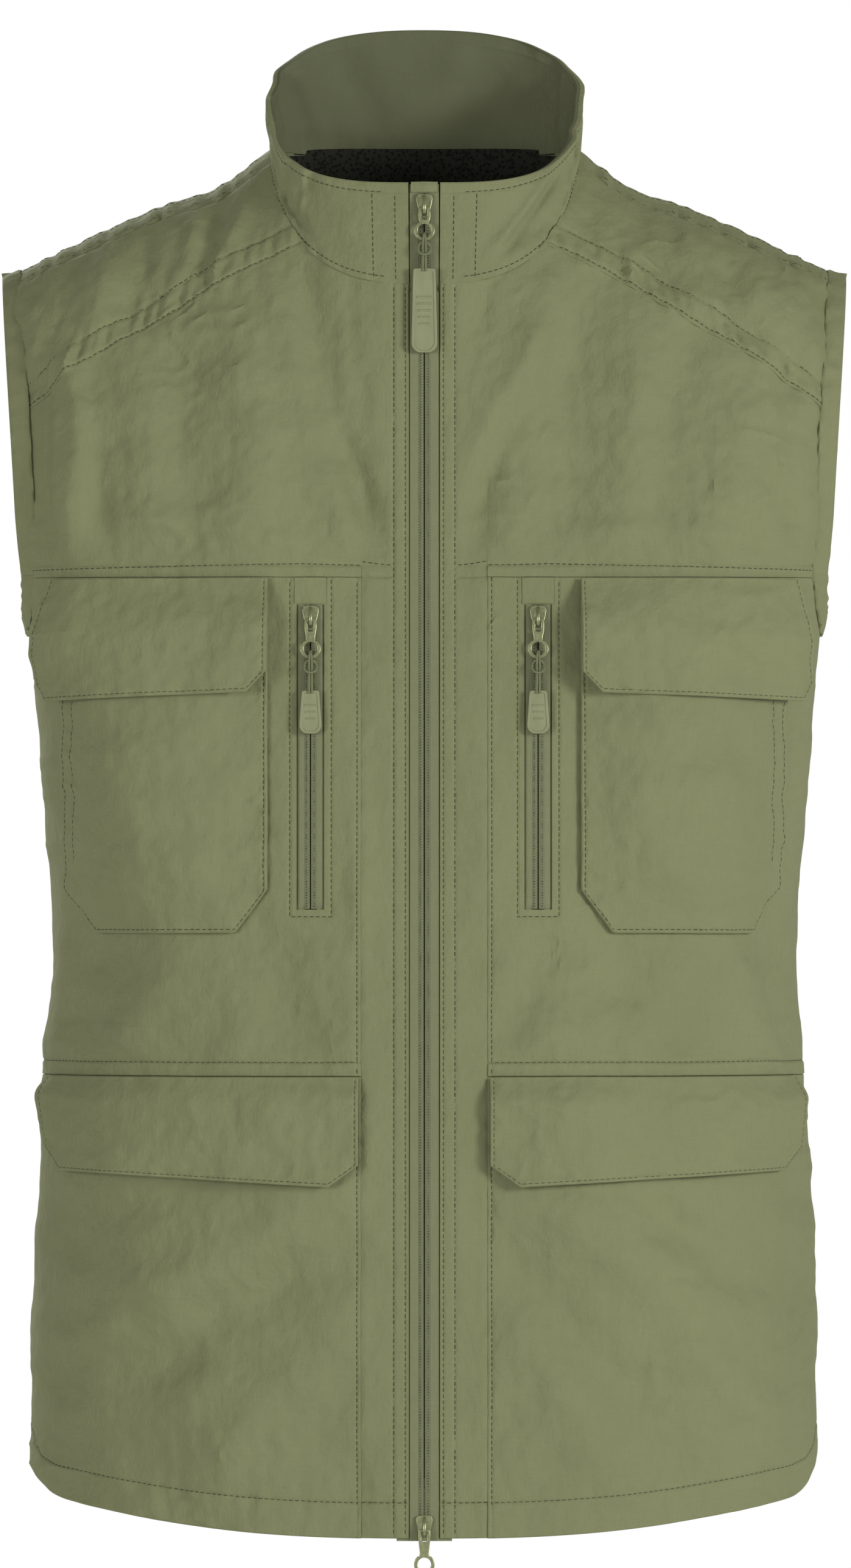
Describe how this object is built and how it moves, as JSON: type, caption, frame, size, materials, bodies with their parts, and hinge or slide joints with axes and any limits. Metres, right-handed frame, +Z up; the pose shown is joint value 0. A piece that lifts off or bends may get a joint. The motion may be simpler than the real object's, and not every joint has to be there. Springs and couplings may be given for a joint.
{
  "type": "fishing vest",
  "caption": "Sleeveless stand-collar vest with a two-way front zip, flapped bellows chest pockets, upright zipped pockets and wide flapped lower pockets.",
  "frame": {"origin": "midway between the two places where the vest rests on the shoulders, beside the neck", "axes": "+X to the wearer's left, -Y to the front of the vest, +Z up"},
  "size_m": [0.4314, 0.2541, 0.7833],
  "materials": {
    "shell_fabric": "matte",
    "lining_mesh": "matte",
    "hook_and_loop": "matte",
    "zip_tape": "matte",
    "zip_nylon": "satin",
    "zip_metal": "satin",
    "puller_cord": "matte",
    "puller_rubber": "matte"
  },
  "bodies": {
    "vest": {"front_lower_left": "shell_fabric", "front_lower_right": "shell_fabric", "front_middle_left": "shell_fabric", "front_middle_right": "shell_fabric", "front_chest_left": "shell_fabric", "front_chest_right": "shell_fabric", "shoulder_panel_left": "shell_fabric", "shoulder_panel_right": "shell_fabric", "back_yoke": "shell_fabric", "back_panel": "shell_fabric", "placket_left": "shell_fabric", "placket_right": "shell_fabric", "collar_outer": "shell_fabric", "collar_facing": "shell_fabric", "armhole_binding_left": "shell_fabric", "armhole_binding_right": "shell_fabric", "mesh_lining_back": "lining_mesh", "mesh_lining_left": "lining_mesh", "mesh_lining_right": "lining_mesh", "lower_pocket_bag_left": "lining_mesh", "lower_pocket_bag_right": "lining_mesh", "zip_pocket_bag_left": "lining_mesh", "zip_pocket_bag_right": "lining_mesh", "chest_pocket_left": "shell_fabric", "chest_pocket_right": "shell_fabric", "chest_loop_patch_left": "hook_and_loop", "chest_loop_patch_right": "hook_and_loop", "lower_loop_patch_left": "hook_and_loop", "lower_loop_patch_right": "hook_and_loop", "zip_teeth_left": "zip_nylon", "zip_teeth_right": "zip_nylon", "zip_tape_left": "zip_tape", "zip_tape_right": "zip_tape", "top_zip_garage": "shell_fabric", "pocket_zip_garage_left": "shell_fabric", "pocket_zip_garage_right": "shell_fabric", "pocket_zip_left": "zip_nylon", "pocket_zip_right": "zip_nylon"},
    "top_slider": {"top_slider": "zip_metal"},
    "top_tab": {"top_tab": "zip_metal"},
    "top_puller": {"top_cord": "puller_cord", "top_puller": "puller_rubber"},
    "bottom_slider": {"bottom_slider": "zip_metal"},
    "bottom_tab": {"bottom_tab": "zip_metal"},
    "left_pocket_slider": {"left_pocket_slider": "zip_metal"},
    "left_pocket_tab": {"left_pocket_tab": "zip_metal"},
    "left_pocket_puller": {"left_pocket_cord": "puller_cord", "left_pocket_puller": "puller_rubber"},
    "right_pocket_slider": {"right_pocket_slider": "zip_metal"},
    "right_pocket_tab": {"right_pocket_tab": "zip_metal"},
    "right_pocket_puller": {"right_pocket_cord": "puller_cord", "right_pocket_puller": "puller_rubber"},
    "chest_flap_left": {"chest_flap_left": "shell_fabric", "chest_hook_patch_left": "hook_and_loop"},
    "lower_flap_left": {"lower_flap_left": "shell_fabric", "lower_hook_patch_left": "hook_and_loop"},
    "chest_flap_right": {"chest_flap_right": "shell_fabric", "chest_hook_patch_right": "hook_and_loop"},
    "lower_flap_right": {"lower_flap_right": "shell_fabric", "lower_hook_patch_right": "hook_and_loop"}
  },
  "joints": [
    {"name": "top_slide", "type": "slide", "parent": "vest", "child": "top_slider", "axis": [0, -0.1052, -0.9945], "range_m": [0, 0.37]},
    {"name": "top_tab_lift", "type": "hinge", "parent": "top_slider", "child": "top_tab", "pos_m": [0, -0.08063, -0.03236], "axis": [-1, 0, 0], "range_deg": [0, 165]},
    {"name": "top_puller_swing", "type": "hinge", "parent": "top_tab", "child": "top_puller", "pos_m": [0, -0.08229, -0.04807], "axis": [0, -0.9945, 0.1052], "range_deg": [-28, 28]},
    {"name": "bottom_slide", "type": "slide", "parent": "vest", "child": "bottom_slider", "axis": [0, 0.02, 0.9998], "range_m": [0, 0.185]},
    {"name": "bottom_tab_lift", "type": "hinge", "parent": "bottom_slider", "child": "bottom_tab", "pos_m": [0, -0.13311, -0.69964], "axis": [-1, 0, 0], "range_deg": [0, 165]},
    {"name": "left_pocket_slide", "type": "slide", "parent": "vest", "child": "left_pocket_slider", "axis": [0, -0.0957, -0.9954], "range_m": [0, 0.125]},
    {"name": "left_pocket_tab_lift", "type": "hinge", "parent": "left_pocket_slider", "child": "left_pocket_tab", "pos_m": [0.0575, -0.10225, -0.24089], "axis": [-1, 0, 0], "range_deg": [0, 165]},
    {"name": "left_pocket_puller_swing", "type": "hinge", "parent": "left_pocket_tab", "child": "left_pocket_puller", "pos_m": [0.0575, -0.10405, -0.2596], "axis": [0, -0.9954, 0.0957], "range_deg": [-24, 18]},
    {"name": "right_pocket_slide", "type": "slide", "parent": "vest", "child": "right_pocket_slider", "axis": [0, -0.0957, -0.9954], "range_m": [0, 0.125]},
    {"name": "right_pocket_tab_lift", "type": "hinge", "parent": "right_pocket_slider", "child": "right_pocket_tab", "pos_m": [-0.0575, -0.10225, -0.24089], "axis": [-1, 0, 0], "range_deg": [0, 165]},
    {"name": "right_pocket_puller_swing", "type": "hinge", "parent": "right_pocket_tab", "child": "right_pocket_puller", "pos_m": [-0.0575, -0.10405, -0.2596], "axis": [0, -0.9954, 0.0957], "range_deg": [-18, 24]},
    {"name": "chest_flap_left_lift", "type": "hinge", "parent": "vest", "child": "chest_flap_left", "pos_m": [0.15368, -0.09948, -0.21871], "axis": [-0.9624, -0.2718, 0], "range_deg": [0, 150]},
    {"name": "lower_flap_left_lift", "type": "hinge", "parent": "vest", "child": "lower_flap_left", "pos_m": [0.13763, -0.10502, -0.47141], "axis": [-0.8593, -0.5115, 0], "range_deg": [0, 150]},
    {"name": "chest_flap_right_lift", "type": "hinge", "parent": "vest", "child": "chest_flap_right", "pos_m": [-0.15368, -0.09948, -0.21871], "axis": [-0.9624, 0.2718, 0], "range_deg": [0, 150]},
    {"name": "lower_flap_right_lift", "type": "hinge", "parent": "vest", "child": "lower_flap_right", "pos_m": [-0.13763, -0.10502, -0.47141], "axis": [-0.8593, 0.5115, 0], "range_deg": [0, 150]}
  ]
}
